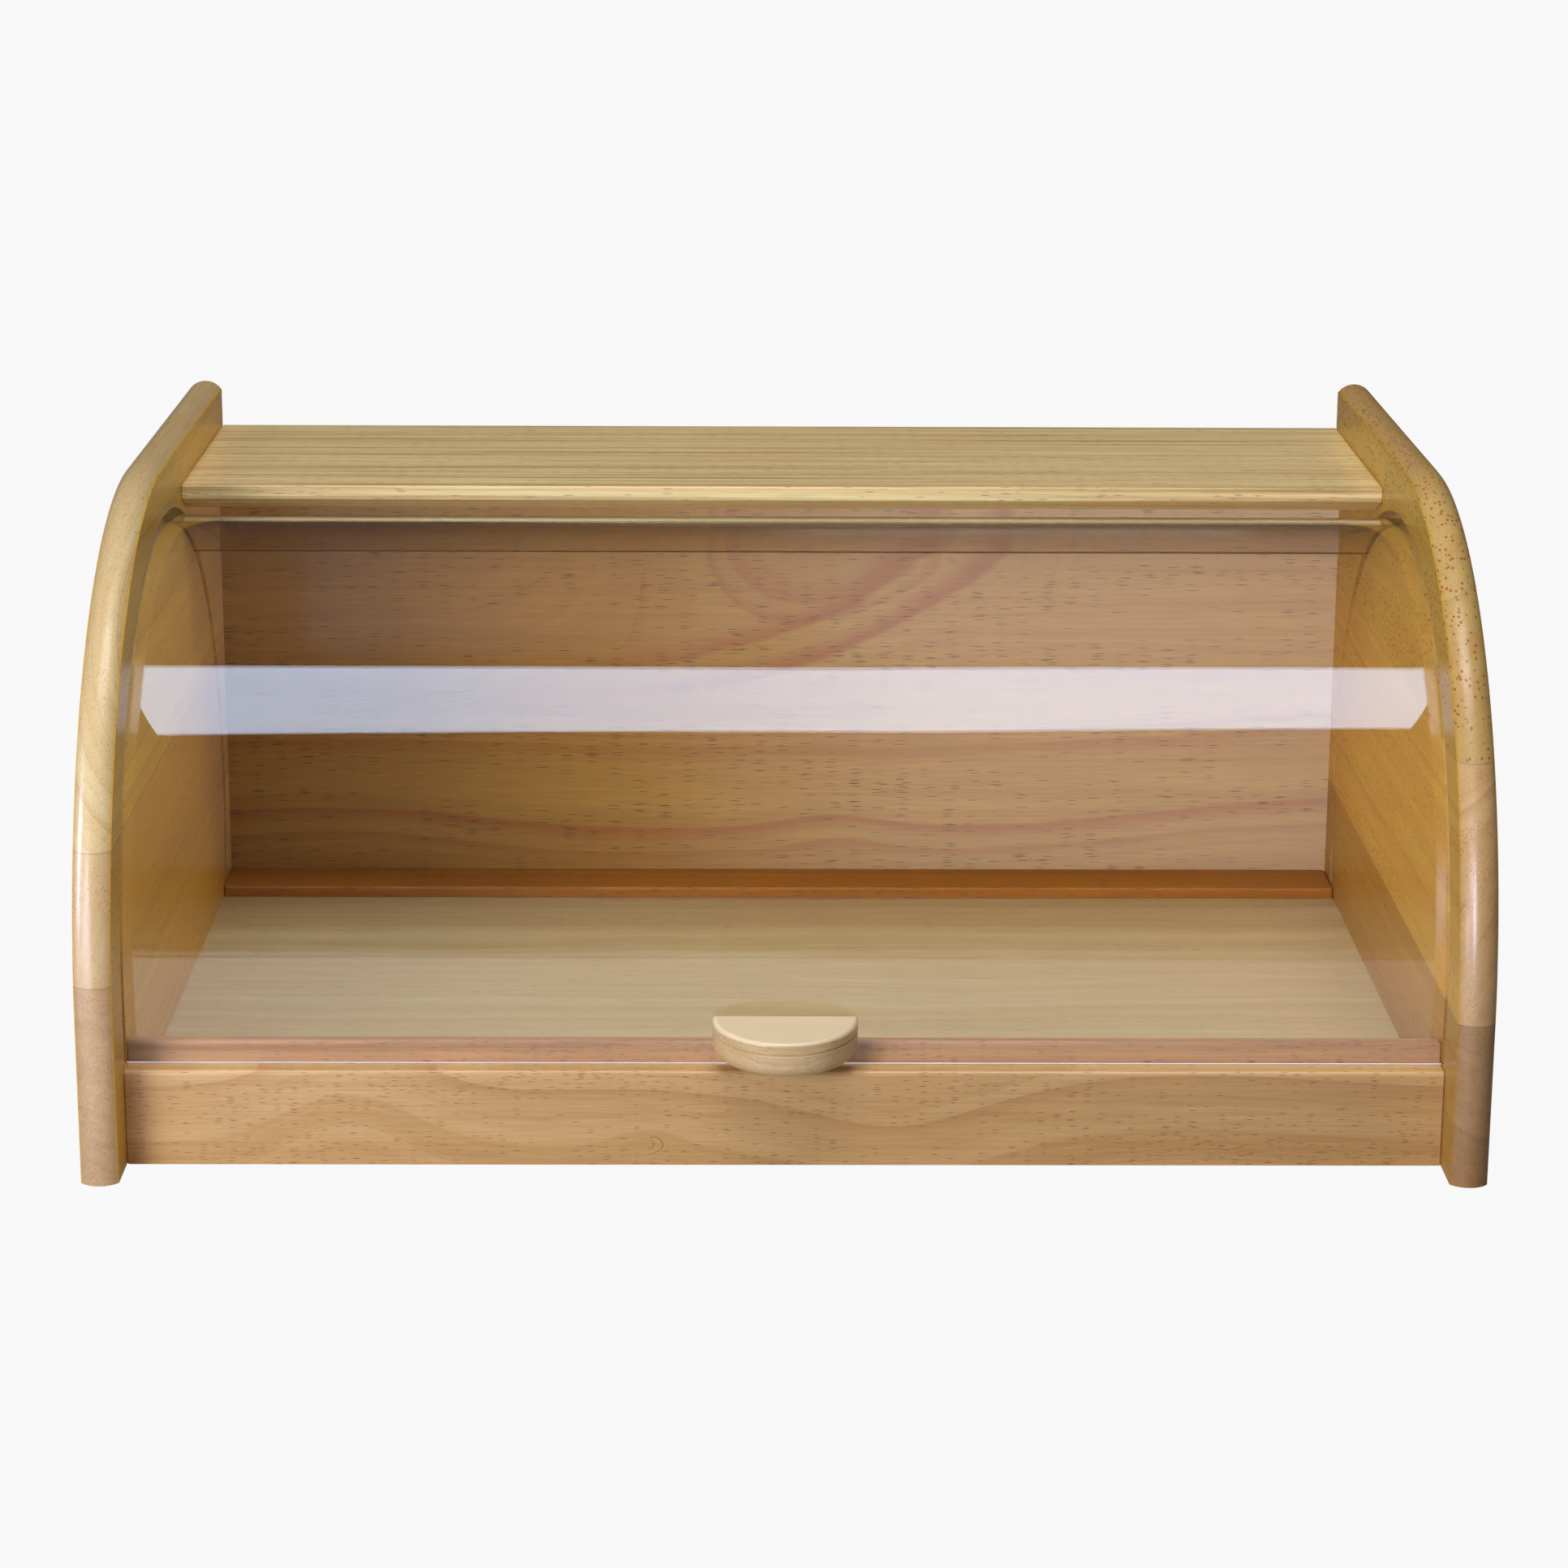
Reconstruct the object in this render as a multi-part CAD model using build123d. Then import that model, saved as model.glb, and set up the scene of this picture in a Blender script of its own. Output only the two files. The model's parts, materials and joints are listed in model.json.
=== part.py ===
"""Wooden bread box with a clear roll top.

A glued carcass of solid wood and plywood holds a bent clear sheet that slides round a circle
in two routed grooves.  Millimetres, +Z up, +X to the right, the front faces -Y.  The origin is
on the table, at the middle of the box's overall width and depth.
"""

import math
import os

from build123d import *

# ---------------------------------------------------------------- carcass
overall_width = 390.0
overall_depth = 275.0
panel_thickness = 10.5        # side panels
edge_rise = 2.8               # how far the rounded panel edge stands beyond its corners
edge_margin = 14.3            # wood between the door groove and the panel's round front
ear_height = 11.9             # panel corners above the shelf
left_stave_joints = (57.0, 93.0)     # heights of the glue lines in the left panel
right_stave_joints = (47.0, 116.0)   # and in the right panel

rail_setback = 14.7           # front rail behind the panels' front corners
rail_height = 27.7
rail_thickness = 8.5
rail_round = 1.4
strip_thickness = 4.0         # strip behind the door's lower edge
strip_above_rail = 6.4
strip_round = 1.0
strip_end_gap = 0.3
rear_rail_depth = 35.2
rear_rail_height = 14.5
rear_rail_round = 1.0
rear_rail_end_gap = 0.2
shelf_thickness = 9.4
shelf_nose = 4.3              # upright part of the shelf's front edge
shelf_round = 0.7
shelf_above_groove = 1.9      # shelf's top face above the top of the door groove
joint_easing = 0.4            # small chamfer round the butted ends of shelf and rails

# ---------------------------------------------------------------- plywood panels
ply_thickness = 4.0
ply_slack = 0.1               # gap on each face of the plywood in its groove
ply_groove_depth = 4.5        # in the side panels
ply_edge_gap = 0.4            # plywood's edge to the bottom of its groove
floor_top = 10.8
floor_in_front_rail = 3.0
floor_in_rear_rail = 5.0
back_inset = 9.3              # back panel's rear face to the rear edge of the box
back_in_shelf = 4.0
back_in_rear_rail = 6.0

# ---------------------------------------------------------------- roll top
sheet_thickness = 2.0
groove_gap_inside = 0.6       # sheet to the groove's inner wall
groove_gap_outside = 2.3      # sheet to the groove's outer wall
groove_depth = 4.5
sheet_side_gap = 0.7          # sheet's end to the bottom of the groove
groove_behind_rail_face = 2.0
groove_to_back_panel = 9.8
axis_above_rail = 17.5        # centre of the door's circle above the front rail
stop_gap = 0.3                # sheet's edge to the rail that stops it
sheet_rear_angle = 124.0      # rear edge when closed, in degrees up from the front horizontal
door_to_shelf_gap = 5.4

# ---------------------------------------------------------------- knob
knob_width = 40.6
knob_thickness = 10.5
knob_angle = -4.0             # knob's middle, in degrees up from the front horizontal
knob_top_round = 1.1
knob_bottom_round = 3.2
knob_line_below_top = 3.5     # fine turned line round the knob
knob_line_depth = 0.45
screw_spacing = 18.0
screw_radius = 1.5
screw_length = 12.0           # below the head
screw_head_radius = 2.5
screw_head_height = 1.6
screw_slot_length = 3.2
screw_slot_width = 0.7
screw_slot_depth = 0.8
screw_hole_gap = 0.2          # round the screw in the sheet
pilot_gap = 0.05              # round the screw in the knob

# ---------------------------------------------------------------- dowels
dowel_length = 30.0
dowel_in_panel = 7.0
dowel_radius = 3.0
slim_dowel_radius = 2.5       # for the thinner front rail
dowel_end_gap = 0.5
dowel_chamfer = 0.6
dowel_cover = 1.2             # least wood between a front rail dowel and a groove
shelf_dowel_count = 3         # at each end

# ---------------------------------------------------------------- worked out from the sizes above
inner_x = overall_width / 2 - panel_thickness
outer_x = overall_width / 2
rear_y = overall_depth / 2
front_y = -overall_depth / 2 + edge_rise
rail_front_y = front_y + rail_setback
rail_back_y = rail_front_y + rail_thickness
strip_back_y = rail_back_y + strip_thickness
rear_rail_front_y = rear_y - rear_rail_depth
back_rear_y = rear_y - back_inset
back_front_y = back_rear_y - ply_thickness

groove_width = groove_gap_inside + sheet_thickness + groove_gap_outside
groove_outer_radius = (back_front_y - groove_to_back_panel - rail_front_y - groove_behind_rail_face) / 2
groove_inner_radius = groove_outer_radius - groove_width
sheet_outer_radius = groove_outer_radius - groove_gap_outside
sheet_inner_radius = sheet_outer_radius - sheet_thickness
axis_y = rail_front_y + groove_behind_rail_face + groove_outer_radius
axis_z = rail_height + axis_above_rail

shelf_top = axis_z + groove_outer_radius + shelf_above_groove
shelf_bottom = shelf_top - shelf_thickness
panel_top = shelf_top + ear_height
edge_radius = groove_outer_radius + edge_margin
strip_top = rail_height + strip_above_rail
floor_bottom = floor_top - ply_thickness

# Angles are in degrees up from the front horizontal, seen from the door's axis.
sheet_front_angle = -math.degrees(math.asin((axis_z - rail_height - stop_gap) / sheet_outer_radius))
sheet_stop_angle = 180 + math.degrees(math.asin((axis_z - rear_rail_height - stop_gap) / sheet_outer_radius))
door_travel = math.floor((sheet_stop_angle - sheet_rear_angle) * 10) / 10
groove_front_angle = -math.degrees(math.asin((axis_z - rail_height) / groove_outer_radius)) - 0.2
groove_rear_angle = 180 + math.degrees(math.asin((axis_z - rear_rail_height) / groove_outer_radius)) + 1.0


def block(x_low, x_high, y_low, y_high, z_low, z_high):
    """A box between two corners."""
    centre = ((x_low + x_high) / 2, (y_low + y_high) / 2, (z_low + z_high) / 2)
    return Pos(*centre) * Box(x_high - x_low, y_high - y_low, z_high - z_low)


def mirrored(solid):
    """The same piece on the other side of the box."""
    return mirror(solid, about=Plane.YZ)


def distance_behind_axis(radius, height):
    """How far behind the door's axis a circle of this radius reaches this height."""
    return math.sqrt(radius ** 2 - (height - axis_z) ** 2)


def arc_band(inner_radius, outer_radius, front_angle, rear_angle, x_low, x_high):
    """A curved band round the door's axis, between two angles, from x_low to x_high."""
    start = 180 - rear_angle
    sweep_angle = rear_angle - front_angle
    centre = (axis_y, axis_z)
    outer = CenterArc(centre, outer_radius, start, sweep_angle)
    inner = CenterArc(centre, inner_radius, start, sweep_angle)
    ends = [Line(outer @ 0, inner @ 0), Line(outer @ 1, inner @ 1)]
    band = make_face([outer, inner] + ends)
    return extrude(Plane.YZ.offset(x_low) * band, amount=x_high - x_low)


def dowel(radius, y, z, side):
    """A wooden dowel between a rail or shelf and the side panel; side is 1 right, -1 left."""
    pin = Cylinder(radius, dowel_length)
    pin = chamfer(pin.edges(), dowel_chamfer)
    middle = inner_x + dowel_in_panel - dowel_length / 2
    return Pos(side * middle, y, z) * Rot(0, 90, 0) * pin


def dowel_hole(radius, y, z, side):
    """The hole for a dowel, a little deeper than the dowel at both ends."""
    middle = inner_x + dowel_in_panel - dowel_length / 2
    hole = Cylinder(radius, dowel_length + 2 * dowel_end_gap)
    return Pos(side * middle, y, z) * Rot(0, 90, 0) * hole


def front_rail_dowel_places():
    """Two dowels one above the other, between the floor's groove and the door's groove."""
    y = (rail_front_y + rail_back_y) / 2
    low = floor_top + ply_slack + dowel_cover + slim_dowel_radius
    high = rail_height - 2 * dowel_cover - slim_dowel_radius
    return [(y, low), (y, high)]


def rear_rail_dowel_places():
    """One dowel each side of the back panel's groove."""
    z = rear_rail_height / 2
    ahead = (rear_rail_front_y + floor_in_rear_rail + back_front_y - ply_slack) / 2
    behind = (back_rear_y + ply_slack + rear_y) / 2
    return [(ahead, z), (behind, z)]


def shelf_dowel_places():
    """A row of dowels along each end of the shelf, ahead of the back panel's groove."""
    nose_y = axis_y + distance_behind_axis(sheet_outer_radius + door_to_shelf_gap, shelf_bottom)
    first = nose_y + 3 * dowel_radius
    last = back_front_y - 4 * dowel_radius
    step = (last - first) / (shelf_dowel_count - 1)
    return [(first + i * step, shelf_bottom + shelf_thickness / 2) for i in range(shelf_dowel_count)]


def side_panel():
    """The right side panel: D-shaped board, rounded front and top edge, three grooves and dowel holes."""
    centre_y = front_y + edge_radius
    centre_z = panel_top - edge_radius
    foot = (front_y, 0)
    spring = (front_y, centre_z)
    crown = (centre_y, panel_top)
    corners = [(rear_y, panel_top), (rear_y, 0)]
    outline = make_face([
        Line(foot, spring),
        CenterArc((centre_y, centre_z), edge_radius, 90, 90),
        Polyline(crown, *corners, foot),
    ])
    board = extrude(Plane.YZ.offset(inner_x) * outline, amount=panel_thickness)

    # The rounded edge is one circular-segment profile, carried up the front, round and back.
    low = (inner_x, front_y)
    apex = ((inner_x + outer_x) / 2, front_y - edge_rise)
    high = (outer_x, front_y)
    profile = make_face([ThreePointArc(low, apex, high), Line(high, low)])
    upright = extrude(profile, amount=centre_z)
    raised = Pos(0, 0, centre_z) * profile
    turning = Axis((0, centre_y, centre_z), (-1, 0, 0))
    bend = revolve(raised, turning, revolution_arc=90)
    top_profile = raised.rotate(turning, 90)
    top_run = extrude(top_profile, amount=rear_y - centre_y, dir=(0, 1, 0))
    board = board + upright + bend + top_run

    board -= arc_band(groove_inner_radius, groove_outer_radius, groove_front_angle, groove_rear_angle,
                      inner_x, inner_x + groove_depth)
    board -= block(inner_x, inner_x + ply_groove_depth,
                   rail_back_y - floor_in_front_rail, rear_rail_front_y + floor_in_rear_rail,
                   floor_bottom - ply_slack, floor_top + ply_slack)
    board -= block(inner_x, inner_x + ply_groove_depth,
                   back_front_y - ply_slack, back_rear_y + ply_slack,
                   rear_rail_height - back_in_rear_rail, shelf_bottom + back_in_shelf)
    for y, z in front_rail_dowel_places():
        board -= dowel_hole(slim_dowel_radius, y, z, 1)
    for y, z in rear_rail_dowel_places() + shelf_dowel_places():
        board -= dowel_hole(dowel_radius, y, z, 1)
    return board


def staves(panel, joints):
    """The panel's glued staves, from the lowest to the highest."""
    levels = [0.0, *joints, panel_top + 2 * edge_rise]
    pieces = []
    for low, high in zip(levels, levels[1:]):
        slab = block(-overall_width, overall_width, -overall_depth, overall_depth, low, high)
        pieces.append(panel & slab)
    return pieces


def eased_ends(piece, size):
    """Small chamfers round both ends of a board that runs from side to side."""
    end_edges = piece.faces().filter_by(Axis.X).edges()
    far = piece.bounding_box().max.X - 1e-3
    return chamfer([edge for edge in end_edges if abs(edge.center().X) > far], size)


def front_rail():
    """The low board across the front, with its top front edge rounded."""
    rail = block(-inner_x, inner_x, rail_front_y, rail_back_y, 0, rail_height)
    top_front = rail.edges().filter_by(Axis.X).group_by(Axis.Z)[-1].sort_by(Axis.Y)[0]
    rail = fillet(top_front, rail_round)
    rail = eased_ends(rail, joint_easing)
    rail -= block(-inner_x, inner_x, rail_back_y - floor_in_front_rail, rail_back_y,
                  floor_bottom - ply_slack, floor_top + ply_slack)
    for side in (-1, 1):
        for y, z in front_rail_dowel_places():
            rail -= dowel_hole(slim_dowel_radius, y, z, side)
    return rail


def front_inner_strip():
    """The thin strip glued behind the front rail, which the door's lower edge closes against."""
    half = inner_x - strip_end_gap
    strip = block(-half, half, rail_back_y, strip_back_y, floor_top, strip_top)
    top = strip.faces().sort_by(Axis.Z)[-1]
    return fillet(top.edges(), strip_round)


def rear_rail():
    """The low board across the back, grooved for the floor and the back panel; it stops the open door."""
    half = inner_x - rear_rail_end_gap
    rail = block(-half, half, rear_rail_front_y, rear_y, 0, rear_rail_height)
    top_front = rail.edges().filter_by(Axis.X).group_by(Axis.Z)[-1].sort_by(Axis.Y)[0]
    rail = fillet(top_front, rear_rail_round)
    rail = eased_ends(rail, joint_easing)
    rail -= block(-half, half, rear_rail_front_y, rear_rail_front_y + floor_in_rear_rail,
                  floor_bottom - ply_slack, floor_top + ply_slack)
    rail -= block(-half, half, back_front_y - ply_slack, back_rear_y + ply_slack,
                  rear_rail_height - back_in_rear_rail, rear_rail_height)
    for side in (-1, 1):
        for y, z in rear_rail_dowel_places():
            rail -= dowel_hole(dowel_radius, y, z, side)
    return rail


def top_shelf():
    """The flat top: its front edge is cut back underneath, so that the sheet passes below it."""
    clear_radius = sheet_outer_radius + door_to_shelf_gap
    nose_bottom = shelf_top - shelf_nose
    nose_y = axis_y + distance_behind_axis(clear_radius, nose_bottom)
    bevel_y = axis_y + distance_behind_axis(clear_radius, shelf_bottom)
    section = make_face(Polyline(
        (nose_y, shelf_top), (nose_y, nose_bottom), (bevel_y, shelf_bottom),
        (rear_y, shelf_bottom), (rear_y, shelf_top), close=True,
    ))
    shelf = extrude(Plane.YZ.offset(-inner_x) * section, amount=2 * inner_x)
    nose_edges = shelf.edges().filter_by(Axis.X).filter_by_position(Axis.Y, nose_y - 0.1, nose_y + 0.1)
    shelf = fillet(nose_edges, shelf_round)
    shelf = eased_ends(shelf, joint_easing)
    shelf -= block(-inner_x, inner_x, back_front_y - ply_slack, back_rear_y + ply_slack,
                   shelf_bottom, shelf_bottom + back_in_shelf)
    for side in (-1, 1):
        for y, z in shelf_dowel_places():
            shelf -= dowel_hole(dowel_radius, y, z, side)
    return shelf


def floor_panel():
    """The plywood floor, held in grooves on all four sides."""
    half = inner_x + ply_groove_depth - ply_edge_gap
    return block(-half, half,
                 rail_back_y - floor_in_front_rail + ply_edge_gap,
                 rear_rail_front_y + floor_in_rear_rail - ply_edge_gap,
                 floor_bottom, floor_top)


def back_panel():
    """The plywood back, held in grooves in the side panels, shelf and rear rail."""
    half = inner_x + ply_groove_depth - ply_edge_gap
    return block(-half, half, back_front_y, back_rear_y,
                 rear_rail_height - back_in_rear_rail + ply_edge_gap,
                 shelf_bottom + back_in_shelf - ply_edge_gap)


def knob_place():
    """The knob's own frame: its Z points out along the door's radius, its Y runs up the sheet."""
    lean = math.radians(knob_angle)
    outward = (0, -math.cos(lean), math.sin(lean))
    axis_point = (0, axis_y, axis_z)
    return Plane(origin=axis_point, x_dir=(1, 0, 0), z_dir=outward)


def screw_offsets():
    """Where the two knob screws stand, across the knob."""
    return [-screw_spacing / 2, screw_spacing / 2]


def door_sheet():
    """The bent clear sheet, with two holes for the knob's screws."""
    half = inner_x + groove_depth - sheet_side_gap
    sheet = arc_band(sheet_inner_radius, sheet_outer_radius, sheet_front_angle, sheet_rear_angle, -half, half)
    middle_radius = sheet_inner_radius + sheet_thickness / 2
    for x in screw_offsets():
        hole = Pos(x, 0, middle_radius) * Cylinder(screw_radius + screw_hole_gap, 3 * sheet_thickness)
        sheet -= knob_place() * hole
    return sheet


def door_knob():
    """The half-round knob: flat on top, hollowed at the back to sit on the sheet, with a fine line round it."""
    radius = knob_width / 2
    back = sheet_inner_radius
    front = sheet_outer_radius + radius
    # The half-round is drawn looking down on the knob: X across, Y out along the door's radius.
    drawn = make_face([
        CenterArc((0, sheet_outer_radius), radius, 0, 180),
        Polyline((-radius, sheet_outer_radius), (-radius, back), (radius, back), (radius, sheet_outer_radius)),
    ])
    looking_down = Plane(origin=(0, knob_thickness / 2, 0), x_dir=(1, 0, 0), z_dir=(0, -1, 0))
    body = extrude(looking_down * drawn, amount=knob_thickness)
    top = body.faces().sort_by(Axis.Y)[-1]
    body = fillet(top.edges().filter_by(GeomType.CIRCLE), knob_top_round)
    bottom = body.faces().sort_by(Axis.Y)[0]
    body = fillet(bottom.edges().filter_by(GeomType.CIRCLE), knob_bottom_round)

    line_y = knob_thickness / 2 - knob_line_below_top
    cutter_profile = make_face(Polyline(
        (radius - knob_line_depth, line_y), (radius + 1, line_y + 1 + knob_line_depth / 2),
        (radius + 1, line_y - 1 - knob_line_depth / 2), close=True,
    ))
    turned = revolve(Pos(0, 0, sheet_outer_radius) * cutter_profile,
                     Axis((0, 0, sheet_outer_radius), (0, 1, 0)), revolution_arc=360)
    ahead = Pos(0, 0, sheet_outer_radius + front / 2) * Box(4 * radius, 4 * radius, front)
    body -= turned & ahead

    knob = knob_place() * body
    knob -= Pos(0, axis_y, axis_z) * Rot(0, 90, 0) * Cylinder(sheet_outer_radius, 2 * knob_width)
    depth = screw_length - sheet_thickness + dowel_end_gap
    for x in screw_offsets():
        pilot = Pos(x, 0, sheet_outer_radius + depth / 2) * Cylinder(screw_radius + pilot_gap, depth)
        pilot += Pos(x, 0, sheet_outer_radius) * Cylinder(screw_radius + pilot_gap, 1.0)
        knob -= knob_place() * pilot
    return knob


def knob_screws():
    """Two round-head screws through the sheet into the knob, from the inside."""
    seat = math.sqrt(sheet_inner_radius ** 2 - screw_head_radius ** 2)
    screws = []
    for x in screw_offsets():
        shank = Pos(x, 0, seat + screw_length / 2) * Cylinder(screw_radius, screw_length)
        tip = shank.edges().sort_by(Axis.Z)[-1]
        shank = chamfer(tip, screw_radius / 2)
        head = Pos(x, 0, seat - screw_head_height / 2) * Cylinder(screw_head_radius, screw_head_height)
        head = fillet(head.edges().sort_by(Axis.Z)[0], screw_head_height * 0.6)
        slot_floor = seat - screw_head_height + screw_slot_depth / 2
        for turn in (0, 90):
            slot = Rot(0, 0, turn) * Box(screw_slot_length, screw_slot_width, screw_slot_depth)
            head -= Pos(x, 0, slot_floor) * slot
        screws.append(knob_place() * (shank + head))
    return Compound(children=screws)


def dowel_group(radius, places):
    """All the dowels of one board, at both ends, as separate solids."""
    pins = [dowel(radius, y, z, side) for side in (-1, 1) for y, z in places]
    return Compound(children=pins)


def all_parts():
    """Every node of the bread box, by name."""
    right_panel = side_panel()
    left_panel = mirrored(right_panel)
    parts = {}
    heights = ("lower", "middle", "upper")
    for height, stave in zip(heights, staves(left_panel, left_stave_joints)):
        parts[f"left_panel_{height}_stave"] = stave
    for height, stave in zip(heights, staves(right_panel, right_stave_joints)):
        parts[f"right_panel_{height}_stave"] = stave
    parts["top_shelf"] = top_shelf()
    parts["front_rail"] = front_rail()
    parts["front_inner_strip"] = front_inner_strip()
    parts["rear_rail"] = rear_rail()
    parts["floor_panel"] = floor_panel()
    parts["back_panel"] = back_panel()
    parts["front_rail_dowels"] = dowel_group(slim_dowel_radius, front_rail_dowel_places())
    parts["rear_rail_dowels"] = dowel_group(dowel_radius, rear_rail_dowel_places())
    parts["shelf_dowels"] = dowel_group(dowel_radius, shelf_dowel_places())
    parts["door_sheet"] = door_sheet()
    parts["door_knob"] = door_knob()
    parts["knob_screws"] = knob_screws()
    return parts


def main():
    """Write one STEP file for each node and print the sizes that the record repeats."""
    os.makedirs("parts", exist_ok=True)
    for name, shape in all_parts().items():
        export_step(shape, os.path.join("parts", name + ".step"))
    print(f"door axis y {axis_y:.3f} z {axis_z:.3f}, travel {door_travel:.1f} degrees")
    print(f"sheet {sheet_inner_radius:.2f} to {sheet_outer_radius:.2f}, from {sheet_front_angle:.2f} degrees")
    print(f"shelf top {shelf_top:.2f}, overall height {panel_top + edge_rise:.2f}")


main()
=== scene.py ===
"""Looks of the bread box with a clear roll top: lacquered wood, plywood, bent acrylic and steel.

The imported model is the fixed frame.  This script dresses its nodes with procedural finishes, rebuilds
the bent sheet as a finer mesh, and sets up the camera, the soft lights and the floor.
Metres, +Z up, the front faces -Y.
"""

import json
import logging
import math
from dataclasses import dataclass
from enum import Enum

import bmesh
import bpy
from mathutils import Matrix
from mathutils import Vector


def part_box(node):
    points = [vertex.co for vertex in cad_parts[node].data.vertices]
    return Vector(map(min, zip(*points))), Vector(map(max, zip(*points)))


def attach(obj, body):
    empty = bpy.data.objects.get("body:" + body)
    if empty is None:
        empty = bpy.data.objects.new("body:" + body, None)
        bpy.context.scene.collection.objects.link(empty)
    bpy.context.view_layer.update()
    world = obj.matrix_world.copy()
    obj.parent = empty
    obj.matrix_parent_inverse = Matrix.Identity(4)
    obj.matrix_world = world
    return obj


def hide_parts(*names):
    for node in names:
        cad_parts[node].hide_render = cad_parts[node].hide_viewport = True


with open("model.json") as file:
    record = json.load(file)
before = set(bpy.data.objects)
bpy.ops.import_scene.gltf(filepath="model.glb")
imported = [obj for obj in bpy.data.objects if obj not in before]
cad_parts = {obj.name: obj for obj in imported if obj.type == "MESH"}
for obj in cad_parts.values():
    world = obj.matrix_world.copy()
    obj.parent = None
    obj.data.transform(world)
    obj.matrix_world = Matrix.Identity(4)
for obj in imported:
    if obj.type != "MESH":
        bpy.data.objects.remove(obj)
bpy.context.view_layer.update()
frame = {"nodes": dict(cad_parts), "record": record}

log = logging.getLogger("bread_box")

MM = 0.001
Socket = bpy.types.NodeSocket
Tint = tuple[float, float, float, float]
Number = float | Socket


def tint(code: str) -> Tint:
    """Turn a six-figure display colour into the linear colour that shaders use.

    Args:
        code: red, green and blue as two hexadecimal figures each.

    Returns:
        Linear red, green, blue and an alpha of one.
    """
    linear = []
    for start in (0, 2, 4):
        shown = int(code[start:start + 2], 16) / 255
        low = shown / 12.92
        high = ((shown + 0.055) / 1.055) ** 2.4
        linear.append(low if shown <= 0.04045 else high)
    return (linear[0], linear[1], linear[2], 1.0)


class Grain(Enum):
    """The way the fibres of a board run."""

    SIDE_TO_SIDE = "X"
    FRONT_TO_BACK = "Y"


class Figure(Enum):
    """How a board or veneer was cut from the log."""

    SAWN = "sawn"
    PEELED_FLOOR = "peeled, lying flat"
    PEELED_BACK = "peeled, standing"


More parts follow.
